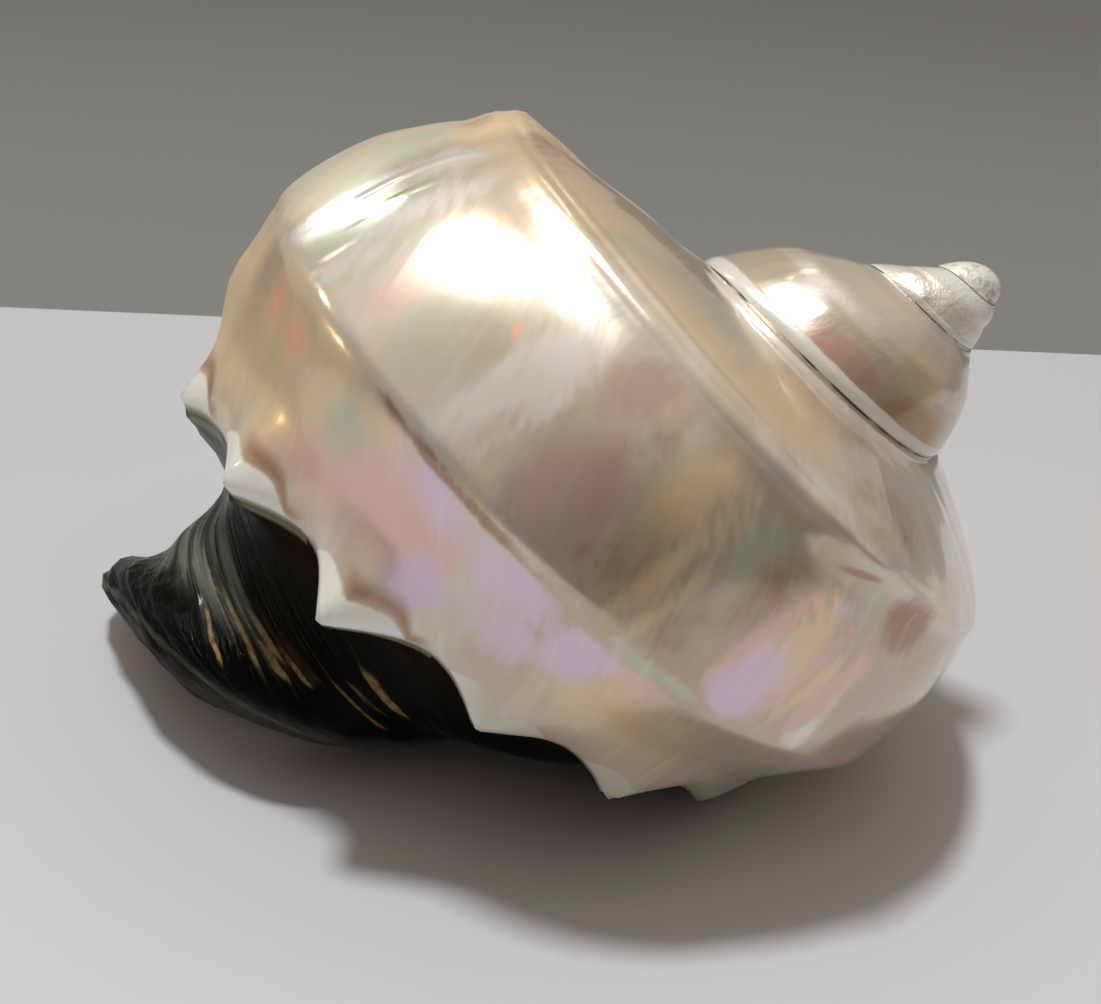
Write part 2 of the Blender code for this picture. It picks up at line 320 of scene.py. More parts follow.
def growth_lines(turn, place, line):
    """Ripples along the growth lines, coarser on the dark base, and its lamellae."""
    rough = smooth(place, PLACE["keel_3"] + 0.3, PLACE["under"] + 0.3)
    ridge = smooth(place, PLACE["under"] + 0.5, PLACE["ridge_1"])
    slow = 0.006 * wander(line + 0.004 * place, 0.035, 11) + 0.0026 * wander(line, 0.014, 12)
    fine = 0.0004 * wander(line + 0.001 * place, 0.0045, 13)
    body = smooth(turn, -1.2, -0.5)
    ripples = (slow * (0.4 + 0.6 * body) + fine) * smooth(place, 0.5, 1.5)
    lamella = 0.012 * wander(line + 0.003 * wander(place, 0.5, 21), 0.013, 22)
    lamella = lamella + 0.008 * wander(line, 0.0055, 23)
    return ripples * (1.0 - 0.6 * rough) + rough * (0.35 + 0.65 * ridge) * lamella


def relief(growth, turn, place, line):
    """How far the surface stands out of the plain law, in suture radii."""
    late = smooth(turn, 0.122, 0.180)
    upper = 0.020 * bell(place, PLACE["keel_1"], 0.42) * (1.0 + 0.4 * wander(turn, 0.03, 3))
    lower = 0.010 * bell(place, PLACE["keel_2"], 0.50) * (1.0 - late)
    ribs = upper + waves(place, RIBS) + lower
    ledge = 0.010 * bell(place, 7.05, 0.42) * (1.0 - smooth(turn, -0.60, -0.48))
    trim = np.interp(turn, BEAK_TURNS, BEAK_TRIM) * smooth(place, 14.4, 16.2)
    whole = ribs * smooth(turn, *KEEL_TURNS) + waves(place, WELTS) + ledge
    whole = whole + growth_lines(turn, place, line) + knob(turn, place)
    whole = whole + waves(place, LATE_SWELLS) * late
    whole = whole - waves(place, LATE_DIPS) * smooth(turn, 0.12, 0.17)
    return whole + bumps(turn, place, BUMPS) + bumps(growth, place, BEAK_NUBS) - trim


def normals_of(points):
    """Unit normals of a grid of points, outwards."""
    along = np.gradient(points, axis=0)
    across = np.gradient(points, axis=1)
    normals = np.cross(along, across)
    return normals / np.linalg.norm(normals, axis=-1, keepdims=True)


def relieved_sheet():
    """The outer sheet's points in the lying frame, with its turns and places."""
    growth = FIRST_TURN + np.arange(LAST_COLUMN + 1) / COLUMNS
    points, turn, place = outside(growth, row_places())
    normals = normals_of(points)
    from_axis = points * (1.0, 1.0, 0.0)
    side = ROWS // 3
    if (normals[:, side] * from_axis[:, side]).sum() < 0.0:
        normals = -normals
    size = SUTURE_RADIUS * EXPANSION ** turn
    line = line_of(growth[:, None], place)
    height = relief(growth[:, None], turn, place, line) * size
    height[:, 0] = 0.0
    covered = 1.0 - smooth(growth[:, None], LIP_TURN - 1.0 + 0.5 / COLUMNS, LIP_TURN - 0.9)
    height = height * (1.0 - covered * bell(place, PLACE["keel_2"], 0.5))
    points = points + normals * height[..., None]
    return points, turn, place, line


# --- Colour patches -----------------------------------------------------------
# Where the pearl turns another colour, by tint: turn, place, the reach of each, strength.
TINTS = ("pink", "green", "mauve", "gold", "lilac", "brown", "silver_and_sheen", "rust")
PATCHES = {
    "pink": (
        (0.074, 6.6, 0.008, 0.4, 0.6), (-0.007, 5.2, 0.007, 0.5, 0.7),
        (-0.106, 6.5, 0.0035, 0.6, 0.9), (-0.109, 5.9, 0.003, 0.6, 0.9),
        (-0.133, 6.3, 0.004, 0.9, 0.9), (-0.151, 6.4, 0.006, 0.7, 0.9),
        (-0.094, 9.0, 0.012, 0.45, 0.9), (0.052, 10.1, 0.03, 0.5, 0.8),
        (0.015, 9.6, 0.022, 0.7, 1.0), (-0.008, 9.75, 0.008, 0.4, 1.0),
    ),
    "green": (
        (0.155, 5.6, 0.02, 1.4, 0.75), (0.116, 6.6, 0.01, 0.9, 0.8), (0.096, 6.7, 0.006, 0.6, 0.8),
        (0.05, 6.7, 0.016, 0.7, 0.6), (0.026, 6.6, 0.007, 0.5, 0.75),
        (-0.078, 5.6, 0.01, 0.8, 0.7), (-0.132, 4.95, 0.007, 0.4, 0.7),
        (-0.083, 8.3, 0.01, 0.3, 0.9), (-0.1, 8.0, 0.01, 0.3, 0.9), (0.052, 9.3, 0.012, 0.45, 0.9),
        (-0.01, 10.35, 0.008, 0.16, 0.35), (0.056, 2.6, 0.03, 0.5, 0.8),
        (0.02, 2.0, 0.016, 0.45, 0.8), (-2.03, 5.5, 0.02, 0.9, 0.7),
    ),
    "mauve": (
        (-0.004, 5.1, 0.01, 0.6, 0.85), (-0.02, 6.7, 0.014, 0.9, 0.8),
        (-0.031, 6.9, 0.01, 0.7, 1.0), (-0.184, 5.8, 0.012, 0.9, 0.6),
        (-1.015, 6.3, 0.018, 0.42, 1.0), (-1.045, 6.15, 0.018, 0.4, 1.0),
        (-1.07, 6.05, 0.012, 0.34, 1.0),
    ),
    "gold": (
        (-0.046, 5.5, 0.01, 0.8, 0.75), (-0.062, 6.4, 0.003, 1.2, 0.8),
        (-0.073, 6.8, 0.0025, 1.0, 0.7), (-0.121, 6.1, 0.008, 0.7, 0.9),
        (-0.141, 6.4, 0.003, 0.8, 0.8), (-0.11, 9.8, 0.04, 0.6, 0.8), (0.105, 9.0, 0.03, 0.9, 0.9),
        (0.066, 9.0, 0.01, 0.6, 0.9), (0.04, 8.9, 0.012, 0.35, 0.6), (0.14, 9.6, 0.04, 1.1, 1.0),
        (0.085, 9.9, 0.02, 0.6, 0.8), (0.115, 2.9, 0.045, 1.2, 1.0), (0.15, 4.2, 0.03, 0.8, 0.9),
        (0.015, 2.9, 0.04, 0.6, 0.7), (-0.04, 2.3, 0.03, 0.9, 0.8), (-1.11, 4.0, 0.04, 1.6, 0.9),
    ),
    "lilac": (
        (-0.118, 7.0, 0.009, 0.55, 1.0), (-0.122, 5.3, 0.005, 0.3, 0.6),
        (-0.07, 9.4, 0.01, 0.5, 1.0), (-0.036, 9.1, 0.016, 0.45, 0.9),
        (-0.05, 9.9, 0.012, 0.4, 0.7), (0.005, 9.0, 0.014, 0.35, 0.8),
        (-0.012, 10.2, 0.01, 0.3, 0.8),
    ),
    "brown": (
        (-0.024, 5.4, 0.008, 0.6, 0.4), (-0.047, 6.9, 0.012, 0.7, 0.5),
        (-0.083, 6.9, 0.008, 0.5, 0.5), (-0.092, 5.9, 0.009, 0.7, 0.55),
        (-0.16, 4.7, 0.013, 0.55, 1.0), (0.036, 8.3, 0.01, 0.2, 0.7),
        (-0.004, 8.42, 0.03, 0.2, 0.9), (0.128, 9.5, 0.018, 0.5, 0.22),
        (0.14, 3.2, 0.03, 0.8, 0.45), (0.165, 4.6, 0.02, 0.6, 0.4), (-0.118, 2.6, 0.03, 0.8, 0.5),
        (-1.028, 6.25, 0.026, 0.42, 0.52), (-1.062, 6.1, 0.014, 0.36, 0.5),
    ),
    # The silver patches from turn 0.098 to 0.129 are painted highlights, streaks of light along the
    # growth lines; the others are silvery pearl.
    "silver_and_sheen": (
        (0.129, 6.1, 0.005, 1.5, 0.9), (0.105, 5.8, 0.004, 0.7, 0.9),
        (0.098, 7.0, 0.005, 0.5, 0.8), (0.02, 6.2, 0.008, 0.9, 0.95),
        (0.007, 6.5, 0.003, 0.8, 0.7), (-0.16, 7.0, 0.006, 0.4, 0.8),
        (-0.08, 3.4, 0.014, 0.5, 0.8), (-0.94, 5.2, 0.03, 1.0, 0.8),
    ),
    "rust": (
        (0.082, 5.2, 0.003, 0.16, 0.9), (0.079, 6.25, 0.0028, 0.14, 0.8),
        (0.036, 5.95, 0.0026, 0.12, 0.7), (-0.116, 5.2, 0.0025, 0.16, 0.8),
        (-0.112, 5.5, 0.0025, 0.14, 0.6), (0.113, 9.2, 0.007, 0.42, 0.9),
        (0.092, 9.25, 0.008, 0.36, 0.9),
    ),
}
PATCH_SPREAD = 1.4          # how far the patches run into each other
STRAY_PATCHES = 150


def stray_patches():
    """Soft patches like the named ones, all over the rest of the shell."""
    dice = np.random.default_rng(5)
    patches = {tint: [] for tint in TINTS}
    for _ in range(STRAY_PATCHES):
        turn = LIP_TURN - 3.4 * dice.uniform(0.0, 1.0) ** 1.6
        place = dice.uniform(1.2, 10.6)
        tint = TINTS[dice.integers(len(TINTS) - 1)]
        reach = (dice.uniform(0.004, 0.030), dice.uniform(0.3, 1.3))
        seen = -0.19 < turn < 0.17 or -1.25 < turn < -0.86 or turn < -1.6
        if not seen:
            patches[tint].append((turn, place, *reach, dice.uniform(0.3, 0.8)))
    return patches


def tints_of(turn, place):
    """How much of each tint the pearl takes, 0 to 1, one channel a tint."""
    amounts = np.zeros(turn.shape + (len(TINTS),))
    stray = stray_patches()
    for channel, tint in enumerate(TINTS):
        spread = 1.0 if tint == "rust" else PATCH_SPREAD
        for at, row, turns, places, strength in (*PATCHES[tint], *stray[tint]):
            spot = strength * bell(turn, at, turns * spread) * bell(place, row, places * spread)
            amounts[..., channel] = np.maximum(amounts[..., channel], spot)
    return amounts


# Ochre strokes on the dark base: growth line, half width, place, and its reach.
OCHRE_STROKES = (
    (0.348, 0.0055, 13.8, 0.62), (0.389, 0.0040, 14.35, 0.55), (0.362, 0.0080, 13.32, 0.20),
    (0.314, 0.0100, 13.5, 0.36), (0.325, 0.0080, 13.9, 0.30), (0.300, 0.0070, 13.7, 0.30),
    (0.249, 0.0080, 13.75, 0.50), (0.181, 0.0120, 13.0, 0.34), (0.222, 0.0080, 13.4, 0.30),
)


# --- The sheet as a mesh ------------------------------------------------------
class Sheet:
    """The mesh while it grows. Each vertex carries its column, row and ring."""

    def __init__(self, points):
        self.bm = bmesh.new()
        verts, loops = self.bm.verts.layers, self.bm.loops.layers
        self.column = verts.int.new("column")
        self.row = verts.int.new("row")
        self.ring = verts.int.new("ring")
        self.rim = verts.int.new("rim")
        self.growth = loops.uv.new("growth")
        self.lines = loops.uv.new("lines")
        self.tint = loops.float_color.new("tint")
        self.tone = loops.float_color.new("tone")
        self.points = points

    def place(self, vertex, column, row):
        vertex[self.column] = column
        vertex[self.row] = row
        vertex.co = self.points[column, row]

    def lengthen(self, vertex, last_row):
        """Draws the growth line on from a vertex, down to the last row."""
        edges = []
        while vertex[self.row] < last_row:
            made = bmesh.ops.extrude_vert_indiv(self.bm, verts=[vertex])
            new = made["verts"][0]
            self.place(new, vertex[self.column], vertex[self.row] + 1)
            edges.extend(made["edges"])
            vertex = new
        return edges, vertex

    def extrude(self, edges):
        made = bmesh.ops.extrude_edge_only(self.bm, edges=edges)["geom"]
        verts = [item for item in made if isinstance(item, bmesh.types.BMVert)]
        known = set(verts)
        new_edges = [
            item for item in made
            if isinstance(item, bmesh.types.BMEdge)
            and item.verts[0] in known and item.verts[1] in known
        ]
        return verts, new_edges


def wind_sheet(sheet):
    """Extrudes the outer sheet from the tip to the lip, line by line."""
    first = sheet.bm.verts.new()
    sheet.place(first, 0, 0)
    edges, last = sheet.lengthen(first, ATTACH_ROW)
    for column in range(1, LAST_COLUMN + 1):
        if column == LAST_COLUMN - COLUMNS + 1:
            base_edges, _ = sheet.lengthen(last, MARGIN_ROW)
            edges = edges + base_edges
        verts, edges = sheet.extrude(edges)
        for vertex in verts:
            sheet.place(vertex, column, vertex[sheet.row])
        last = max(verts, key=lambda vertex: vertex[sheet.row])


def map_sheet(sheet, turn, place, line, tints):
    """Writes the growth map and the tints on the outer sheet's corners."""
    turn, place, line, tints = turn.tolist(), place.tolist(), line.tolist(), tints.tolist()
    for face in sheet.bm.faces:
        for loop in face.loops:
            column, row = loop.vert[sheet.column], loop.vert[sheet.row]
            loop[sheet.growth].uv = (turn[column][row], place[column][row])
            loop[sheet.lines].uv = (line[column][row], place[column][row])
            loop[sheet.tint] = tints[column][row][:4]
            loop[sheet.tone] = tints[column][row][4:]


def weld_sutures(sheet):
    """Joins each whorl's upper edge to the whorl before it."""
    by_place = {
        (vertex[sheet.column], vertex[sheet.row]): vertex
        for vertex in sheet.bm.verts
        if vertex[sheet.row] in (0, ATTACH_ROW)
    }
    targets = {}
    for column in range(LAST_COLUMN - COLUMNS + 1):
        targets[by_place[(column + COLUMNS, 0)]] = by_place[(column, ATTACH_ROW)]
    bmesh.ops.weld_verts(sheet.bm, targetmap=targets)


def close_tip(sheet, frame_points):
    """Fills the opening round the axis at the tip with a rounded dome."""
    edges = [
        edge for edge in sheet.bm.edges
        if edge.is_boundary and all(v[sheet.column] <= COLUMNS for v in edge.verts)
    ]
    turn, shift = frame_points
    top = on_axis(FIRST_TURN, 0.0, CAP_DEPTH) @ turn.T + shift
    up = Vector(turn[:, 2])
    top = Vector(top) + SPIRE_LEAN
    lean = CAP_LEAN / math.radians(90.0 - CAP_START)
    for ring in range(1, DOME_RINGS + 1):
        verts, edges = sheet.extrude(edges)
        step = (90.0 - CAP_START) / (DOME_RINGS + 1)
        before = math.radians(CAP_START + step * (ring - 1))
        now = math.radians(CAP_START + step * ring)
        across = (math.cos(now) / math.cos(before)) ** CAP_BLUNT
        down = (1.0 - math.sin(now)) / (1.0 - math.sin(before))
        for vertex in verts:
            offset = vertex.co - top
            drop = up * offset.dot(up)
            vertex.co = top + (offset - drop) * across + drop * down + lean * (now - before)
            vertex[sheet.ring] = ring
    cap = bmesh.ops.contextual_create(sheet.bm, geom=edges)["faces"]
    centre = bmesh.ops.poke(sheet.bm, faces=cap)["verts"][0]
    centre.co = top + CAP_LEAN
    centre[sheet.ring] = DOME_RINGS + 1
    for face in sheet.bm.faces:
        if any(vertex[sheet.ring] for vertex in face.verts):
            for loop in face.loops:
                loop[sheet.growth].uv = (FIRST_TURN, CAP_V)
                loop[sheet.lines].uv = (FIRST_TURN, CAP_V)


# --- The mouth ----------------------------------------------------------------
def around(column, row):
    """Where a vertex of the sheet's open edge stands round the hollow, 0 to 1."""
    if column == LAST_COLUMN:
        return SPOUT_AROUND * row / MARGIN_ROW
    if row == MARGIN_ROW:
        back = (LAST_COLUMN - column) / COLUMNS * CAD_COLUMNS
    else:
        back = CAD_COLUMNS + (MARGIN_ROW - row) / ROW_STEPS
    inner_edge = CAD_COLUMNS + (MARGIN_ROW - ATTACH_ROW) / ROW_STEPS
    return SPOUT_AROUND + (1.0 - SPOUT_AROUND) * back / inner_edge


def mouth_turns(shares):
    """The turn of the mouth's edge at each place round the hollow."""
    places = row_places()
    rows = np.clip(shares / SPOUT_AROUND, 0.0, 1.0) * MARGIN_ROW
    place = np.interp(rows, np.arange(ROWS), places)
    lip = LIP_TURN - curve_weights(place, len(STATIONS)) @ LAGS
    spout = LIP_TURN - LAGS[-1]
    inner = spout + (LIP_TURN - spout) * smooth(shares, SPOUT_AROUND, 1.0)
    return np.where(shares <= SPOUT_AROUND, lip, inner)


def hollow_points(shares, step):
    """A ring of the hollow's wall, from step 0 at the mouth to 1."""
    inner_end = LIP_TURN - LAGS[PLACE["keel_3"]] - HOLLOW_TURNS
    turn = mouth_turns(shares) * (1.0 - step) + inner_end * step
    ring = curve_weights(shares * len(HOLLOW), len(HOLLOW), closed=True) @ HOLLOW
    width = 1.0 + (HOLLOW_TAPER - 1.0) * step
    ring = HOLLOW_CENTRE + (ring - HOLLOW_CENTRE) * width
    return on_axis(turn, ring[:, 0], ring[:, 1])


def lip_rings(outer, inner, onwards, roundness):
    """Rings that carry the sheet round the lip's rounded edge into the mouth."""
    tangent = np.roll(outer, -1, axis=0) - np.roll(outer, 1, axis=0)
    across = inner - outer
    width = np.linalg.norm(across, axis=1, keepdims=True)
    bulge = np.cross(tangent, across)
    bulge /= np.linalg.norm(bulge, axis=1, keepdims=True) + 1e-12
    facing = np.sign((bulge * (inner - onwards)).sum(axis=1, keepdims=True))
    bulge = bulge * np.where(facing == 0.0, 1.0, facing)
    for _ in range(LIP_SMOOTHING):
        bulge = (np.roll(bulge, 1, axis=0) + bulge + np.roll(bulge, -1, axis=0)) / 3.0
    height = np.minimum(LIP_ROUND * width, LIP_MOST * SUTURE_RADIUS) * roundness[:, None]
    rings = []
    for ring in range(1, LIP_RINGS + 1):
        angle = math.pi * ring / LIP_RINGS
        rings.append(
            outer + across * (1.0 - math.cos(angle)) / 2.0 + bulge * height * math.sin(angle)
        )
    return rings


def line_mouth(sheet, frame_points):
    """Turns the sheet in at the lip and runs it back as the hollow."""
    turn, shift = frame_points
    edges = [edge for edge in sheet.bm.edges if edge.is_boundary]
    rim = sorted(
        {vertex for edge in edges for vertex in edge.verts},
        key=lambda vertex: around(vertex[sheet.column], vertex[sheet.row]),
    )
    for i, vertex in enumerate(rim):
        vertex[sheet.rim] = i
    shares = np.array([around(v[sheet.column], v[sheet.row]) for v in rim])
    outer = np.array([vertex.co[:] for vertex in rim])
    hollow = [
        hollow_points(shares, ring / HOLLOW_RINGS) @ turn.T + shift
        for ring in range(HOLLOW_RINGS + 1)
    ]
    # The edge turns inwards in the lip's notch, and is flat where it meets the whorl before.
    at, reach, depth = LIP_NOTCH
    flat = smooth(shares, 0.88, 0.92) + 1.0 - smooth(shares, 0.004, 0.020)
    roundness = 1.0 - flat - depth * bell(shares, at, reach)
    rings = lip_rings(outer, hollow[0], hollow[2], roundness) + hollow[1:]
    first_new = len(sheet.bm.faces)
    for number, ring in enumerate(rings, start=1):
        verts, edges = sheet.extrude(edges)
        for vertex in verts:
            vertex.co = ring[vertex[sheet.rim]]
            vertex[sheet.ring] = MOUTH_RING + number
    bmesh.ops.contextual_create(sheet.bm, geom=edges)
    sheet.bm.faces.ensure_lookup_table()
    for face in sheet.bm.faces[first_new:]:
        at = [shares[loop.vert[sheet.rim]] for loop in face.loops]
        for loop, share in zip(face.loops, at):
            ring = max(loop.vert[sheet.ring] - MOUTH_RING, 0)
            depth = LIP_V + min(ring / LIP_RINGS, 1.0)
            depth += max(ring - LIP_RINGS, 0) / HOLLOW_RINGS * HOLLOW_V
            turned = share + 1.0 if max(at) - share > 0.5 else share
            loop[sheet.growth].uv = (turned, depth)
            loop[sheet.lines].uv = (turned, depth)


def build_shell():
    """The shell's mesh object, in its place in the frame."""
    points, turn, place, line = relieved_sheet()
    frame_points = (lying(), tip_place())
    points = points @ frame_points[0].T + frame_points[1]
    growth = FIRST_TURN + np.arange(LAST_COLUMN + 1) / COLUMNS
    whorl = growth[:, None] + smooth(place, 0.0, PLACE["keel_2"])
    points = points + np.array(SPIRE_LEAN) * smooth(whorl, *SPIRE_TURNS)[..., None]
    sheet = Sheet(points)
    wind_sheet(sheet)
    map_sheet(sheet, turn, place, line, tints_of(turn, place))
    weld_sutures(sheet)
    close_tip(sheet, frame_points)
    line_mouth(sheet, frame_points)
    bm = sheet.bm
    for vertex in bm.verts:
        vertex.co.z = max(vertex.co.z, SHELL_BOX[0].z)
    bmesh.ops.recalc_face_normals(bm, faces=bm.faces[:])
    mesh = bpy.data.meshes.new("turban_shell")
    bm.to_mesh(mesh)
    bm.free()
    mesh.shade_smooth()
    shell = bpy.data.objects.new("turban_shell", mesh)
    bpy.context.scene.collection.objects.link(shell)
    return shell


# --- Nodes --------------------------------------------------------------------
class Value:
    """A node's output that takes part in sums, so that shader maths reads as maths."""

    def __init__(self, graph, output):
        self.graph = graph
        self.output = output

    def maths(self, operation, first, second=None, clamp=False):
        settings = {"operation": operation, "use_clamp": clamp}
        inputs = {0: first} if second is None else {0: first, 1: second}
        return self.graph.node("ShaderNodeMath", settings, inputs)

    def __add__(self, other):
        return self.maths("ADD", self, other)

    def __radd__(self, other):
        return self.maths("ADD", other, self)

    def __sub__(self, other):
        return self.maths("SUBTRACT", self, other)

    def __rsub__(self, other):
        return self.maths("SUBTRACT", other, self)

    def __mul__(self, other):
        return self.maths("MULTIPLY", self, other)

    def __rmul__(self, other):
        return self.maths("MULTIPLY", other, self)

    def __pow__(self, power):
        return self.maths("POWER", self, power)

    def __abs__(self):
        return self.maths("ABSOLUTE", self)

    def fraction(self):
        return self.maths("FRACT", self)

    def above(self, low, high):
        """0 at low, 1 at high and past it, and a smooth step between."""
        settings = {"interpolation_type": "SMOOTHSTEP"}
        inputs = {"Value": self, "From Min": low, "From Max": high}
        if low > high:
            inputs.update({"From Min": high, "From Max": low, "To Min": 1.0, "To Max": 0.0})
        return self.graph.node("ShaderNodeMapRange", settings, inputs)

    def near(self, middle, reach):
        """1 at the middle, falling to 0 at that reach to either side."""
        return 1.0 - abs(self - middle).above(0.0, reach)

    def limited(self):
        """No less than 0 and no more than 1."""
        return self.maths("ADD", self, 0.0, clamp=True)

    def or_more(self, other):
        return self.maths("MAXIMUM", self, other)


class Graph:
    """The nodes of a material or of the world, made one at a time."""

    def __init__(self, owner):
        owner.use_nodes = True
        self.tree = owner.node_tree
        self.tree.nodes.clear()

    def node(self, kind, settings=(), inputs=(), output=0):
        """A node of any kind: its settings first, then its sockets' values or links."""
        node = self.tree.nodes.new(kind)
        for name, value in dict(settings).items():
            setattr(node, name, value)
        for key, value in dict(inputs).items():
            if isinstance(value, Value):
                self.tree.links.new(value.output, node.inputs[key])
            else:
                node.inputs[key].default_value = value
        return Value(self, node.outputs[output]) if node.outputs else None

    def parts(self, vector):
        """A vector's three numbers."""
        node = self.tree.nodes.new("ShaderNodeSeparateXYZ")
        self.tree.links.new(vector.output, node.inputs[0])
        return [Value(self, output) for output in node.outputs]

    def vector(self, x, y, z=0.0):
        return self.node("ShaderNodeCombineXYZ", {}, {0: x, 1: y, 2: z})

    def noise(self, vector, scale, detail=3.0, roughness=0.5):
        inputs = {"Vector": vector, "Scale": scale, "Detail": detail, "Roughness": roughness}
        return self.node("ShaderNodeTexNoise", {}, inputs)

    def mix(self, share, first, second):
        """A colour between two, or a share of the second over the first."""
        settings = {"data_type": "RGBA"}
        return self.node("ShaderNodeMix", settings, {0: share, 6: first, 7: second}, output=2)

    def blend(self, share, first, second):
        """A number between two."""
        return first + (second - first) * share


def colour(value):
    """A colour with its alpha, as the sockets take it."""
    return (*value[:3], 1.0)


# --- The shell's material -----------------------------------------------------
KEEL = PLACE["keel_3"]
FACET_HALF = 0.36           # half the length of a ground facet, in flutes
BREAKS_ROW = 3.0            # any row of the noise that breaks the seams up
KEEL_RIBS = ((4.02, 0.32, 0.00018), (3.45, 0.26, 0.00016))     # place, reach, metres
# Thin raised lines that catch the light: turn and its reach, place and its reach.
GLINTS = ((0.1295, 0.0036, 5.9, 1.7), (0.1165, 0.003, 6.1, 0.7), (0.104, 0.004, 7.1, 0.6))
GLINT_HEIGHT = 0.00016      # metres
PAINTED_GLOW = 0.16                 # strength of the painted glow that lifts the orange flecks like glints


class Skin:
    """The growth map, the noises and the zones that make up the shell's material."""

    def __init__(self, look):
        self.look = look
        self.material = bpy.data.materials.new("turban_pearl")
        self.graph = graph = Graph(self.material)
        growth = graph.node("ShaderNodeUVMap", {"uv_map": "growth"})
        self.turn, self.place, _ = graph.parts(growth)
        self.line, _, _ = graph.parts(graph.node("ShaderNodeUVMap", {"uv_map": "lines"}))
        self.tints = {}
        for name, names in (("tint", TINTS[:4]), ("tone", TINTS[4:])):
            settings = {"attribute_type": "GEOMETRY", "attribute_name": name}
            amounts = graph.parts(graph.node("ShaderNodeAttribute", settings))
            amounts.append(graph.node("ShaderNodeAttribute", settings, output=3))
            self.tints.update(zip(names, amounts))
        here = graph.node("ShaderNodeTexCoord", output=3)
        self.cloud = graph.noise(here, 38.0)
        self.fleck = graph.noise(here, 130.0, 4.0, 0.6)
        self.grain = graph.noise(here, 1000.0, 3.0, 0.6)
        bent = self.line + self.striped(self.line, 9.0, 0.5) * 0.010
        self.band = self.striped(bent, 45.0, 0.45, 3.0, 0.6)
        self.streak = self.striped(bent, 170.0, 0.7, 4.0, 0.55)
        self.dark_streak = self.striped(bent, 62.0, 0.5, 5.0, 0.6)
        speck = self.fleck - 0.5
        self.ragged = speck * 0.4 + (self.streak - 0.5) * 0.22 + (self.band - 0.5) * 0.3
        self.edge = self.place + speck * 0.10
        self.inside = self.place.above(LIP_V - 0.5, LIP_V - 0.4)
        self.outer = 1.0 - self.inside
        self.early = self.turn.above(-1.72, -1.80)
        self.covered = self.turn.above(-0.50, -0.62)
        self.mark_flutes()
        self.mark_sutures()
        self.mark_base()

    def striped(self, line, fine, coarse, detail=3.0, roughness=0.5):
        """Noise drawn out along the growth lines."""
        at = self.graph.vector(line * fine, self.place * coarse)
        return self.graph.noise(at, 1.0, detail, roughness)

    def painted(self, shade, layers):
        """Shares of the look's colours, laid one over the other."""
        for share, name in layers:
            shade = self.graph.mix(share, shade, colour(getattr(self.look, name)))
        return shade

    def mark_flutes(self):
        """The ground facets: a lens of ivory at each flute, longer on its older side."""
        turn, edge, outer = self.turn, self.edge, self.outer
        across = (turn * FLUTES + 0.5).fraction() - 0.5
        lens = 1.0 - ((across - 0.02) * (1.0 / FACET_HALF)) ** 4.0
        top = KEEL + 0.06 - lens.limited() * self.look.facet
        grown = turn.above(-0.36, -0.22)
        self.base = edge.above(KEEL + 0.10, KEEL + 0.20) * outer
        self.facet = (edge - top).above(-0.02, 0.04) * (1.0 - self.base) * outer * grown
        older = across.above(0.20, -0.02) * across.above(-0.48, -0.36)
        brown = (edge + self.ragged * 0.05 - top).near(-0.10, 0.17) * older * outer * grown
        self.brown = brown * (1.0 - self.facet) * turn.above(-0.075, -0.03)
        self.rim = edge.near(KEEL + 0.12, 0.08) * outer
        lower = across.above(0.02, -0.12) * across.above(-0.60, -0.45)
        lower = lower * turn.above(-0.06, -0.04) * outer
        self.under_rim = edge.near(KEEL + 0.25, 0.14) * lower

    def mark_sutures(self):
        """The white band and the thin dark line beside each suture, and the pale cap."""
        turn, place, edge = self.turn, self.place, self.edge
        white = (place + (self.fleck - 0.5) * 0.3).near(7.05, 0.56).above(0.02, 0.30)
        cap = self.early * (edge.above(3.0, 1.9) + turn.above(-2.36, -2.46)).limited()
        self.white = (white * self.covered).or_more(cap)
        breaks = self.graph.noise(self.graph.vector(turn * 9.0, BREAKS_ROW), 1.0, 2.0)
        seam = edge.near(7.58, 0.16) * self.covered * breaks.above(0.45, 0.56)
        thin = edge.near(0.62, 0.22) * turn.above(-1.50, -1.60)
        self.seam = seam.or_more(thin).above(0.15, 0.7)

    def mark_base(self):
        """The grey saddle behind the beak, and the rough edge of the base."""
        place, line, ragged = self.place, self.line, self.ragged
        self.saddle = (place + ragged).near(12.8, 1.5) * (line + ragged * 0.03).above(0.29, 0.35)
        margin = place + ragged * 0.8 - (line - 0.5) * 4.0
        self.margin = margin.above(15.4, 15.9) * self.outer

    def pearl(self):
        """The pearl with its patches, browner from the body's middle on."""
        turn, place, ragged = self.turn, self.place, self.ragged
        dusk = turn.above(-0.012, -0.050) * place.above(3.9, 4.8) * place.above(11.0, 9.0)
        layers = [
            (self.cloud.above(0.38, 0.62), "champagne"),
            (self.band.above(0.50, 0.70) * 0.5, "silver_and_sheen"),
            (self.band.above(0.48, 0.30) * 0.5, "gold"),
            ((dusk + ragged * 0.8).above(0.25, 0.95) * dusk * 0.55, "umber"),
        ]
        for name, tint in self.tints.items():
            amount = (tint + ragged * 1.9).above(0.16, 0.74) * tint.above(0.0, 0.20)
            layers.append((amount * 0.9, name))
        # The spire is painted darker than the body, as painted shade for the dimmer light it
        # reflects, with a mauve patch, and golden brown low down.
        tan = turn.near(-1.150, 0.100) * place.near(6.5, 2.3)
        wine = turn.near(-1.030, 0.068) * place.near(6.15, 1.25)
        wine = (wine + ragged * 0.3).above(0.14, 0.40)
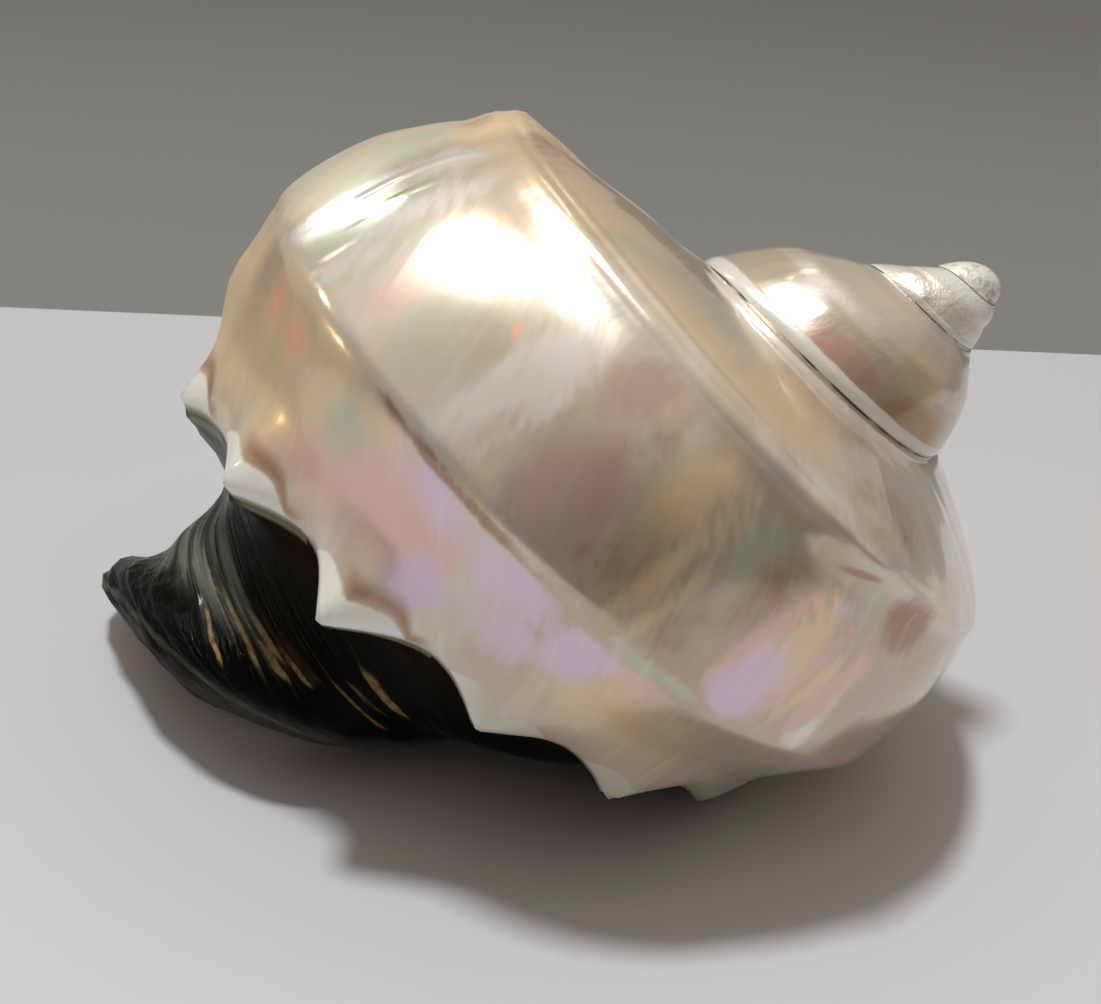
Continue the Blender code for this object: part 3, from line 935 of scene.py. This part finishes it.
        # Painted shade: a brown line along the crease under the nodule at the end of the upper keel.
        painted_crease_shade = (place - turn * 20.0).near(6.86, 0.20) * turn.near(-0.116, 0.018)
        speckle = self.grain.above(0.53, 0.62) * turn.above(-2.38, -2.46)
        layers += [
            (self.streak.above(0.54, 0.74) * 0.18, "silver_and_sheen"),
            (self.streak.above(0.46, 0.26) * 0.15, "champagne"),
            # painted shade: the spire's pearl is mixed darker
            (turn.above(-0.80, -0.93) * turn.above(-1.75, -1.60) * 0.34, "clay"),
            ((tan + ragged * 0.5).above(0.10, 0.75) * 0.9, "tan"),
            (wine * 0.75, "mauve"),
            (wine * 0.40, "brown"),
            (turn.above(-1.62, -1.75) * 0.55, "silver_and_sheen"),
            (self.white * 0.92, "chalk"),
            (speckle * 0.55, "clay"),
            # painted shade in the crease under the nodule
            (painted_crease_shade.above(0.1, 0.8) * 0.75, "brown"),
            (self.brown * 0.85, "brown"),
        ]
        return self.painted(colour(self.look.pearl), layers)

    def horn(self):
        """The horny base, streaked along its growth lines."""
        place, fleck, dark_streak = self.place, self.fleck, self.dark_streak
        patchy = (self.cloud + (fleck - 0.5) * 0.4).above(0.50, 0.62)
        ochre = self.streak.above(0.52, 0.62) * patchy * place.near(13.6, 1.5) * 0.12
        wavy = self.line + (fleck - 0.5) * 0.014
        worn = (dark_streak + fleck * 0.5).above(0.58, 0.80)
        for at, half, row, reach in OCHRE_STROKES:
            stroke = wavy.near(at, half).above(0.0, 0.6) * place.near(row, reach).above(0.0, 0.5)
            ochre = ochre + stroke * worn
        ochre = (ochre * (0.55 + fleck)).limited() * (0.45 + 0.55 * self.grain.above(0.34, 0.56))
        crest = (place + (fleck - 0.5) * 0.3).near(15.45, 0.16) * self.line.above(0.30, 0.42)
        return self.painted(colour(self.look.horn), (
            (dark_streak.above(0.54, 0.78), "moss"),
            (ochre, "ochre"),
            (place.above(KEEL + 1.9, KEEL + 0.6) * 0.7, "bark"),
            ((self.saddle * 1.6).limited() * dark_streak.above(0.34, 0.62), "lichen"),
            (self.margin * 0.85, "slate"),
            (crest * 0.5, "lichen"),
        ))

    def shade(self):
        """The colour all over: pearl, facets, base, and the mouth with its dark edge."""
        polished = 1.0 - self.place.above(KEEL + 0.1, KEEL + 0.2)
        bone = self.turn.above(-0.04, -0.10) * 0.8
        ivory = self.painted(colour(self.look.ivory), ((bone, "bone"),))
        lip_edge = (self.place + (self.fleck - 0.5) * 0.2).near(LIP_V + 0.05, 0.22) * self.inside
        lining = self.painted(colour(self.look.silver_and_sheen), (
            (self.cloud.above(0.4, 0.65), "pink"),
            (self.fleck.above(0.5, 0.7) * 0.5, "champagne"),
        ))
        shade = self.graph.mix(self.facet, self.pearl(), ivory)
        shade = self.graph.mix(self.base, shade, self.horn())
        shade = self.painted(shade, (
            (self.rim * 0.8, "rim"),
            (self.under_rim * 0.9, "olive"),
            (self.seam * self.outer * polished, "moss"),
        ))
        shade = self.graph.mix(self.inside, shade, lining)
        return self.painted(shade, ((lip_edge, "moss"),))

    def height(self):
        """Relief too fine for the mesh, in metres."""
        turn, place = self.turn, self.place
        ribs = sum(place.near(at, reach) * height for at, reach, height in KEEL_RIBS)
        ribs = ribs * turn.above(-0.5, -0.15) * turn.above(0.20, 0.16)
        pearl = ribs + self.band * 0.00010 + self.streak * 0.000004
        horn = self.dark_streak * 0.00080 + self.streak * 0.00005 + self.fleck * 0.00010
        height = self.graph.blend(self.base, pearl, horn) + self.facet * self.fleck * 0.00004
        height = height + self.white * 0.00006 - self.seam * 0.00025
        height = height + self.early * self.grain * 0.00022
        glints = sum(
            turn.near(at, reach) * place.near(row, extent) for at, reach, row, extent in GLINTS
        )
        return height + glints * GLINT_HEIGHT


def shell_material(look):
    """Polished pearl, ivory facets on the flutes, a dark horny base and the mouth."""
    skin = Skin(look)
    graph, turn, place = skin.graph, skin.turn, skin.place
    matt = (skin.facet + skin.rim * 0.5 + skin.white * 0.8 + skin.seam).limited()
    metallic = (1.0 - matt) * (1.0 - skin.base) * look.lustre
    metallic = metallic * (1.0 - place.above(9.6, 10.7) * 0.55)
    dull = turn.above(0.132, 0.150)
    satin = 0.15 + 0.13 * skin.cloud + skin.covered * 0.10 + skin.early * 0.15 + dull * 0.20
    ground = 0.08 + 0.10 * skin.fleck
    gleam = place.near(13.75, 1.1) * skin.line.near(0.375, 0.060)
    gleam = gleam * skin.dark_streak.above(0.47, 0.56)
    rough = (skin.margin + skin.saddle * 0.6).limited()
    # Painted glow: the orange flecks give off a little light of their own, which lifts them like
    # glints.
    painted_glow = (skin.tints["rust"] * 1.2).limited() * skin.outer
    common = {
        "Base Color": skin.shade(),
        "Normal": graph.node("ShaderNodeBump", {}, {
            "Strength": 1.0, "Distance": 1.0, "Height": skin.height(),
        }),
    }
    nacre = graph.node("ShaderNodeBsdfPrincipled", {}, {
        **common, "Metallic": metallic, "Roughness": graph.blend(skin.facet, satin, ground),
        "Coat Weight": (0.9 - dull * 0.7 - place.above(9.1, 9.7) * 0.7).limited(),
        "Coat Roughness": 0.05, "IOR": 1.55, "Emission Strength": PAINTED_GLOW,
        "Emission Color": skin.painted(colour((0.0, 0.0, 0.0)), ((painted_glow, "rust"),)),
    })
    horn = graph.node("ShaderNodeBsdfPrincipled", {}, {
        **common, "Roughness": graph.blend(rough, 0.10 + 0.12 * skin.dark_streak, 0.55),
        "Coat Weight": gleam.above(0.0, 0.4), "Coat Roughness": 0.12,
        "Specular IOR Level": 0.04, "IOR": 1.45,
    })
    surface = graph.node("ShaderNodeMixShader", {}, {0: skin.base, 1: nacre, 2: horn})
    graph.node("ShaderNodeOutputMaterial", {}, {"Surface": surface})
    return skin.material


def plain_material(name, value, roughness, painted_falloff, depths):
    """A plain ground, painted darker with depth from the first of two depths to the next: painted
    shade for light that falls off.
    """
    material = bpy.data.materials.new(name)
    graph = Graph(material)
    here = graph.node("ShaderNodeTexCoord", output=3)
    _, depth, _ = graph.parts(here)
    darker = tuple(channel * 0.96 for channel in value[:3])
    # Painted shade: the far part of the ground is painted darker, as if less light reached it.
    shaded_far_colour = tuple(channel * painted_falloff for channel in value[:3])
    shade = graph.mix(graph.noise(here, 6.0, 2.0), colour(value), colour(darker))
    surface = graph.node("ShaderNodeBsdfPrincipled", {}, {
        "Base Color": graph.mix(depth.above(*depths), shade, colour(shaded_far_colour)),
        "Roughness": roughness, "Specular IOR Level": 0.1,
    })
    graph.node("ShaderNodeOutputMaterial", {}, {"Surface": surface})
    return material


# --- Settings -----------------------------------------------------------------
def shade_property(name, description, default):
    return bpy.props.FloatVectorProperty(
        name=name, description=description, default=default,
        subtype="COLOR", size=3, min=0.0, max=1.0,
    )


class ShellLook(bpy.types.PropertyGroup):
    """Colours and gloss of the shell."""

    pearl: shade_property("Pearl", "Palest pearl", (0.78, 0.72, 0.61))
    champagne: shade_property("Champagne", "Warm pearl", (0.70, 0.59, 0.45))
    # Silvery pearl, and also painted highlights: streaks of light along the growth lines near turn
    # 0.1 to 0.13.
    silver_and_sheen: shade_property("Silver", "Silvery pearl", (0.93, 0.90, 0.84))
    pink: shade_property("Pink", "Rosy pearl", (0.90, 0.58, 0.51))
    mauve: shade_property("Mauve", "Mauve pearl", (0.64, 0.46, 0.38))
    green: shade_property("Green", "Greenish pearl", (0.62, 0.65, 0.48))
    gold: shade_property("Gold", "Golden pearl", (0.92, 0.71, 0.44))
    lilac: shade_property("Lilac", "Lilac pearl", (0.84, 0.67, 0.84))
    brown: shade_property("Brown", "Brown pearl, and the band beside the facets", (0.42, 0.23, 0.13))
    olive: shade_property("Olive", "Pale lower side of the flutes", (0.24, 0.26, 0.15))
    umber: shade_property("Umber", "Browner pearl past the body's middle", (0.50, 0.38, 0.24))
    # Painted shade that darkens the spire's pearl, and the speckles of the cap.
    clay: shade_property("Clay", "Duller pearl of the spire", (0.42, 0.34, 0.24))
    tan: shade_property("Tan", "Golden brown low on the spire", (0.44, 0.26, 0.12))
    # Also the colour of the painted glow on the orange flecks.
    rust: shade_property("Rust", "Small orange flecks", (1.0, 0.50, 0.30))
    chalk: shade_property("Chalk", "White band beside the sutures, and the cap", (0.78, 0.77, 0.70))
    ivory: shade_property("Ivory", "Ground facets of the flutes", (0.97, 0.97, 0.90))
    bone: shade_property("Bone", "Facets of the older flutes", (0.62, 0.56, 0.43))
    rim: shade_property("Rim", "Thin green edge of the flutes", (0.16, 0.18, 0.10))
    horn: shade_property("Horn", "Darkest base", (0.002, 0.003, 0.002))
    moss: shade_property("Moss", "Green-black streaks and seams", (0.009, 0.012, 0.007))
    bark: shade_property("Bark", "Brown hollow under the flutes", (0.018, 0.011, 0.006))
    lichen: shade_property("Lichen", "Grey-green streaks behind the beak", (0.14, 0.155, 0.12))
    slate: shade_property("Slate", "Rough grey edge of the base", (0.060, 0.058, 0.052))
    ochre: shade_property("Ochre", "Ochre streaks of the base", (0.31, 0.20, 0.085))
    facet: bpy.props.FloatProperty(
        name="Facet", description="Height of the ivory facets, in stations",
        default=0.42, min=0.0, max=2.0,
    )
    lustre: bpy.props.FloatProperty(
        name="Lustre", description="How metallic the pearl looks",
        default=0.55, min=0.0, max=1.0, subtype="FACTOR",
    )


class StageLook(bpy.types.PropertyGroup):
    """The floor, the wall and the lights."""

    floor: shade_property("Floor", "Pale floor", (0.63, 0.64, 0.66))
    wall: shade_property("Wall", "Grey ground beyond the floor", (0.212, 0.212, 0.202))
    key_power: bpy.props.FloatProperty(
        name="Key light", description="Power of the large light overhead",
        default=18.0, min=0.0, unit="POWER",
    )
    room: bpy.props.FloatProperty(
        name="Room", description="Strength of the even light of the room",
        default=0.30, min=0.0,
    )


# --- The stage ----------------------------------------------------------------
CAMERA_FROM_TIP = Vector((-2.9222, -11.4516, 4.2899)) * SUTURE_RADIUS
CAMERA_RIGHT = Vector((0.9982, 0.0288, 0.0521))
CAMERA_FORWARD = Vector((0.0, 0.8755, -0.4833))
CAMERA_LENS = 58.86         # millimetres, on a sensor 36 mm wide
COOL, WHITE, LAMP_TONE = (0.94, 0.97, 1.0), (1.0, 1.0, 1.0), (1.0, 0.72, 0.32)
AIM = Vector((0.0, 0.0, 0.05))
# Name, elevation, azimuth, distance, width, height, share of the key's power, and tone.
LIGHTS = (
    ("overhead", 83, -130, 1.6, 0.22, 0.22, 1.0, COOL),
    ("window", 63, -112, 0.8, 0.32, 0.32, 0.12, WHITE),
    ("low", 29, -140, 0.8, 0.05, 0.20, 0.012, WHITE),
    ("back", 50, 172, 0.8, 0.06, 0.22, 0.006, WHITE),
    ("side", 25, -109, 0.8, 0.08, 0.08, 0.010, WHITE),
    ("lamp", 9, -95, 0.8, 0.03, 0.03, 0.004, LAMP_TONE),
)
# Roughness, how far the painted shade darkens it with depth, and from which depth to which, in
# metres.
FLOOR_FINISH_AND_SHADE = (0.7, 0.81, (-0.14, 0.12))
WALL_FINISH_AND_SHADE = (0.8, 0.69, (0.14, 0.60))
FLOOR_REACH = 1.6           # metres
FLOOR_BACK = 0.1418         # from the shell to the floor's back edge
FLOOR_TURN = math.radians(2.29)


def flat_sheet(name, corners, material):
    bm = bmesh.new()
    bmesh.ops.create_grid(bm, x_segments=1, y_segments=1, size=0.5)
    order = sorted(bm.verts, key=lambda vertex: (vertex.co.y, vertex.co.x))
    for vertex, corner in zip(order, corners):
        vertex.co = corner
    bmesh.ops.recalc_face_normals(bm, faces=bm.faces[:])
    mesh = bpy.data.meshes.new(name)
    bm.to_mesh(mesh)
    bm.free()
    mesh.materials.append(material)
    sheet = bpy.data.objects.new(name, mesh)
    bpy.context.scene.collection.objects.link(sheet)
    return sheet


def add_area(name, elevation, azimuth, distance, width, height, power, tone):
    """A round light at an elevation and azimuth; azimuth 0 is the camera's side."""
    light = bpy.data.lights.new(name, "AREA")
    light.shape = "ELLIPSE"
    light.size = width
    light.size_y = height
    light.energy = power
    light.color = tone
    lamp = bpy.data.objects.new(name, light)
    lift = Matrix.Rotation(math.radians(-elevation), 3, "X")
    out = Matrix.Rotation(math.radians(azimuth), 3, "Z") @ lift @ Vector((0.0, -1.0, 0.0))
    lamp.location = AIM + out * distance
    lamp.rotation_euler = (-out).to_track_quat("-Z", "Y").to_euler()
    bpy.context.scene.collection.objects.link(lamp)
    return lamp


def add_camera():
    camera = bpy.data.cameras.new("camera")
    camera.sensor_fit = "HORIZONTAL"
    camera.sensor_width = 36.0
    camera.lens = CAMERA_LENS
    camera.clip_start = 0.01
    placed = bpy.data.objects.new("camera", camera)
    back = -CAMERA_FORWARD.normalized()
    right = CAMERA_RIGHT.normalized()
    up = back.cross(right).normalized()
    turn = Matrix((right, up, back)).transposed()
    place = Vector(tip_place()) + CAMERA_FROM_TIP
    placed.matrix_world = Matrix.Translation(place) @ turn.to_4x4()
    bpy.context.scene.collection.objects.link(placed)
    bpy.context.scene.camera = placed


def light_room(world, strength):
    """Even light that is brighter overhead and behind, and dim before the shell."""
    graph = Graph(world)
    right, ahead, up = graph.parts(graph.node("ShaderNodeTexCoord"))
    high = up.above(0.35, 0.95)
    behind = ahead.above(-0.35, 0.45)
    left = right.above(-0.25, -0.95)
    amount = (0.34 + high * 1.3 + behind * 0.75 + left * 0.25) * strength
    background = graph.node("ShaderNodeBackground", {}, {
        "Color": (1.0, 0.88, 0.75, 1.0), "Strength": amount,
    })
    graph.node("ShaderNodeOutputWorld", {}, {"Surface": background})


# --- Operators ----------------------------------------------------------------
class MESH_OT_turban_shell(bpy.types.Operator):
    """Builds the shell over its CAD solid, with its pearl and horn"""

    bl_idname = "mesh.turban_shell"
    bl_label = "Add turban shell"

    def execute(self, context):
        shell = build_shell()
        shell.data.materials.append(shell_material(context.scene.shell_look))
        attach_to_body(shell, "root")
        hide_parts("shell")
        return {"FINISHED"}


class SCENE_OT_shell_stage(bpy.types.Operator):
    """Adds the floor, the wall, the lights and the camera"""

    bl_idname = "scene.shell_stage"
    bl_label = "Add stage"

    def execute(self, context):
        look = context.scene.stage_look
        lean = math.tan(FLOOR_TURN) * FLOOR_REACH
        left, right = -FLOOR_REACH, FLOOR_REACH
        edge = ((left, FLOOR_BACK - lean, 0.0), (right, FLOOR_BACK + lean, 0.0))
        floor = flat_sheet("floor", (
            (left, -FLOOR_REACH, 0.0), (right, -FLOOR_REACH, 0.0), *edge,
        ), plain_material("pale_floor", look.floor, *FLOOR_FINISH_AND_SHADE))
        beyond = flat_sheet("beyond", (
            *edge, (left, FLOOR_REACH, 0.0), (right, FLOOR_REACH, 0.0),
        ), plain_material("grey_ground", look.wall, *WALL_FINISH_AND_SHADE))
        for name, *place, share, tone in LIGHTS:
            lamp = add_area(name, *place, look.key_power * share, tone)
            # Only the first light falls on the floor; the rest show in reflections.
            lamp.visible_diffuse = name == "overhead"
        world = context.scene.world or bpy.data.worlds.new("room")
        context.scene.world = world
        light_room(world, look.room)
        context.scene.view_settings.view_transform = "Standard"
        add_camera()
        return {"FINISHED"}


class VIEW3D_PT_turban_shell(bpy.types.Panel):
    """Lists the shell's settings and steps"""

    bl_label = "Turban shell"
    bl_idname = "VIEW3D_PT_turban_shell"
    bl_space_type = "VIEW_3D"
    bl_region_type = "UI"
    bl_category = "Shell"

    def draw(self, context):
        for settings in (context.scene.shell_look, context.scene.stage_look):
            column = self.layout.column()
            for name in settings.__annotations__:
                column.prop(settings, name)
        self.layout.operator(MESH_OT_turban_shell.bl_idname)
        self.layout.operator(SCENE_OT_shell_stage.bl_idname)


CLASSES = (
    ShellLook, StageLook, MESH_OT_turban_shell, SCENE_OT_shell_stage, VIEW3D_PT_turban_shell,
)


def register():
    for cls in CLASSES:
        bpy.utils.register_class(cls)
    bpy.types.Scene.shell_look = bpy.props.PointerProperty(type=ShellLook)
    bpy.types.Scene.stage_look = bpy.props.PointerProperty(type=StageLook)


def unregister():
    del bpy.types.Scene.stage_look
    del bpy.types.Scene.shell_look
    for cls in reversed(CLASSES):
        bpy.utils.unregister_class(cls)


def main():
    register()
    bpy.ops.mesh.turban_shell()
    bpy.ops.scene.shell_stage()


if __name__ == "__main__":
    main()
